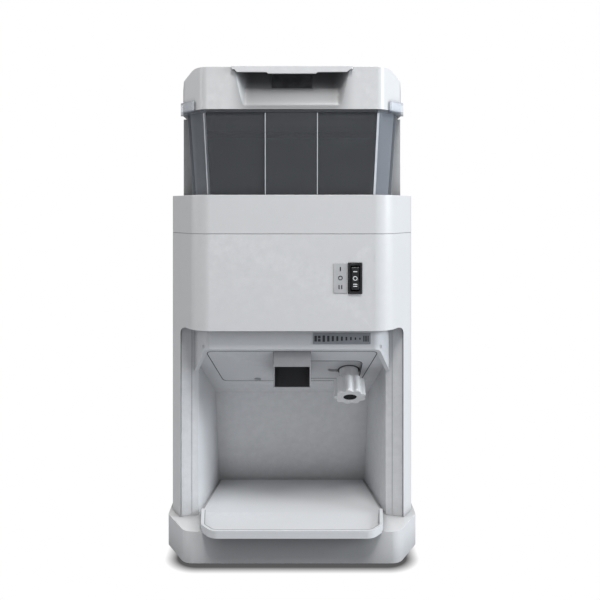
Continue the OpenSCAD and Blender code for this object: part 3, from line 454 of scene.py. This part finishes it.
# rocker: three-position cap with moulded marks
lo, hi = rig.box("rocker")
RX, RW = (lo.x + hi.x) / 2, (hi.x - lo.x) / 2 - 0.0019
prof = [(lo.y + 0.0118, lo.z), (lo.y + 0.0012, lo.z)]
zm, h = (lo.z + hi.z) / 2, (hi.z - lo.z) / 2
for k in range(17):
    t = -1 + 2 * k / 16; prof.append((lo.y + 0.0001 + 0.0019 * (1 - abs(t) ** 1.6), zm + t * (h - 0.0008)))
prof += [(lo.y + 0.0012, hi.z), (lo.y + 0.0118, hi.z)]
V, F = [], []
xs = [-1, -0.96, -0.88, 0.88, 0.96, 1]; ins = [0.0007, 0.0002, 0, 0, 0.0002, 0.0007]
for x, i in zip(xs, ins): V += [(RX + x * RW, y + (i if y < lo.y + 0.011 else 0), z + (i if z < zm else -i)) for y, z in prof]
n = len(prof)
for a in range(len(xs) - 1): F += [[a * n + b, a * n + (b + 1) % n, (a + 1) * n + (b + 1) % n, (a + 1) * n + b] for b in range(n)]
F += [list(range(n)), list(range(len(xs) * n - 1, (len(xs) - 1) * n - 1, -1))]
rk = make("rocker_cap", V, F, MAT["black_plastic"], "rocker_body", "black_plastic"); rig.replaces(rk, "rocker")
rk.modifiers.new("N", "WEIGHTED_NORMAL")
def on_rocker(z, pts, name):
    t = (z - zm) / (h - 0.0008); y = lo.y + 0.0001 + 0.0019 * (1 - abs(t) ** 1.6)
    dy = -0.0019 * 1.6 * abs(t) ** 0.6 * (1 if t > 0 else -1) / (h - 0.0008)
    up = Vector((0, dy, 1)).normalized(); nn = Vector((0, -1, dy)).normalized(); o = Vector((RX, y, z))
    M = Matrix(((1, up.x, nn.x, o.x), (0, up.y, nn.y, o.y), (0, up.z, nn.z, o.z), (0, 0, 0, 1)))
    extrude_shapes(name, pts, -0.0001, 0.00025, M, PRINT_WHITE, "rocker_body", "knob_white")
on_rocker(zm + 0.0072, [rrect(0, 0, 0.0042, 0.0011, 0.0003)], "rocker_mark_one")
on_rocker(zm, ring(0, 0, 0.0024, 0.0016), "rocker_mark_off")
on_rocker(zm - 0.0072, [rrect(0, 0.0011, 0.0042, 0.0009, 0.0003), rrect(0, -0.0011, 0.0042, 0.0009, 0.0003)], "rocker_mark_two")

# ------------------------------------------------------------------ stage, light, camera
me = bpy.data.meshes.new("floor"); me.from_pydata([(-1.6, -1.2, 0), (1.6, -1.2, 0), (1.6, 1.6, 0), (-1.6, 1.6, 0)], [], [(0, 1, 2, 3)])
fl = bpy.data.objects.new("floor", me); bpy.context.scene.collection.objects.link(fl)
fm, fnt, fp = _nt("floor_paper"); fp.inputs["Roughness"].default_value = 0.9
flp = fnt.nodes.new("ShaderNodeLightPath")
fnt.links.new(_mix(fnt, flp.outputs["Is Camera Ray"], (0.35, 0.36, 0.38), (0.95, 0.95, 0.95)), fp.inputs["Base Color"])
fp.inputs["Emission Color"].default_value = (1, 1, 1, 1); fnt.links.new(_ramp(fnt, flp.outputs["Is Camera Ray"], 0.0, 0.42, 0, 1), fp.inputs["Emission Strength"])
fo = [n for n in fnt.nodes if n.type == "OUTPUT_MATERIAL"][0]
# painted contact shadow: the floor's camera-seen glow dims to 0.10 within 24 mm of a 199 x 288 mm rectangle under the
# base and is full again from 38 mm
fgeo = fnt.nodes.new("ShaderNodeNewGeometry"); fab = fnt.nodes.new("ShaderNodeVectorMath"); fab.operation = "ABSOLUTE"
fnt.links.new(fgeo.outputs["Position"], fab.inputs[0])
fsub = fnt.nodes.new("ShaderNodeVectorMath"); fsub.operation = "SUBTRACT"; fsub.inputs[1].default_value = (0.0995, 0.144, 0.0); fnt.links.new(fab.outputs[0], fsub.inputs[0])
fmax = fnt.nodes.new("ShaderNodeVectorMath"); fmax.operation = "MAXIMUM"; fmax.inputs[1].default_value = (0, 0, 0); fnt.links.new(fsub.outputs[0], fmax.inputs[0])
fd = fnt.nodes.new("ShaderNodeVectorMath"); fd.operation = "LENGTH"; fnt.links.new(fmax.outputs[0], fd.inputs[0])
fem = fnt.nodes.new("ShaderNodeEmission"); fnt.links.new(_ramp(fnt, fd.outputs["Value"], 0.10, 1.0, 0.024, 0.038), fem.inputs[1])
fmx = fnt.nodes.new("ShaderNodeMixShader"); fnt.links.new(flp.outputs["Is Camera Ray"], fmx.inputs[0]); fnt.links.new(fp.outputs[0], fmx.inputs[1]); fnt.links.new(fem.outputs[0], fmx.inputs[2])
fnt.links.new(fmx.outputs[0], fo.inputs[0])
me.materials.append(fm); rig.stage(fl)
w = bpy.data.worlds.new("studio"); bpy.context.scene.world = w; w.use_nodes = True
bg = w.node_tree.nodes["Background"]; bg.inputs[0].default_value = (0.97, 0.98, 1.0, 1); bg.inputs[1].default_value = 0.30
lp = w.node_tree.nodes.new("ShaderNodeLightPath"); bg2 = w.node_tree.nodes.new("ShaderNodeBackground"); bg2.inputs[0].default_value = (1, 1, 1, 1); bg2.inputs[1].default_value = 1.0
mx = w.node_tree.nodes.new("ShaderNodeMixShader"); wo = w.node_tree.nodes["World Output"]
w.node_tree.links.new(lp.outputs["Is Camera Ray"], mx.inputs[0]); w.node_tree.links.new(bg.outputs[0], mx.inputs[1]); w.node_tree.links.new(bg2.outputs[0], mx.inputs[2]); w.node_tree.links.new(mx.outputs[0], wo.inputs[0])
def area(name, loc, target, size, power, col=(1, 1, 1)):
    l = bpy.data.lights.new(name, "AREA"); l.energy = power; l.size = size; l.color = col
    o = bpy.data.objects.new(name, l); o.location = loc; bpy.context.scene.collection.objects.link(o)
    o.rotation_euler = (Vector(target) - Vector(loc)).to_track_quat("-Z", "Y").to_euler(); return o
area("key_right", (2.4, -0.75, 0.95), (0, 0, 0.26), 0.9, 40, (0.87, 0.935, 1.0))
area("front_top", (0.35, -1.35, 2.75), (0, -0.1, 0.3), 0.7, 46)
area("top_back", (-0.2, 0.9, 2.0), (0, 0, 0.4), 1.2, 8)
area("left_fill", (-2.4, -0.3, 1.0), (0, 0, 0.3), 1.2, 9)
vs = bpy.context.scene.view_settings
vs.view_transform = "Standard"; vs.look = "None"; vs.exposure = 0.0; vs.gamma = 1.0

cd = bpy.data.cameras.new("cam"); cam = bpy.data.objects.new("cam", cd); bpy.context.scene.collection.objects.link(cam)
cd.sensor_width = 36; cd.lens = 45; cam.location = (0, -0.958, 0.3753); cam.rotation_euler = (math.pi / 2, 0, 0)
cd.clip_start, cd.clip_end = 0.01, 100
bpy.context.scene.camera = cam
# the lens shift belongs to this one camera position, so it follows the camera's place
for prop, val in (("shift_x", 0.0133), ("shift_y", -0.1483)):
    setattr(cd, prop, val)
    d = cd.driver_add(prop).driver; d.type = "SCRIPTED"
    v = d.variables.new(); v.name = "y"; v.type = "SINGLE_PROP"; v.targets[0].id = cam; v.targets[0].data_path = "location[1]"
    v2 = d.variables.new(); v2.name = "x"; v2.type = "SINGLE_PROP"; v2.targets[0].id = cam; v2.targets[0].data_path = "location[0]"
    d.expression = f"{val} if y > -0.9585 and y < -0.9575 and x > -0.0005 and x < 0.0005 else 0"
bpy.context.view_layer.update()
vis = [list(v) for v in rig.bounds()]
try:
    json.dump({"cad": CAD_BOX, "visual": vis}, open("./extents.json", "w"))
except OSError:
    pass
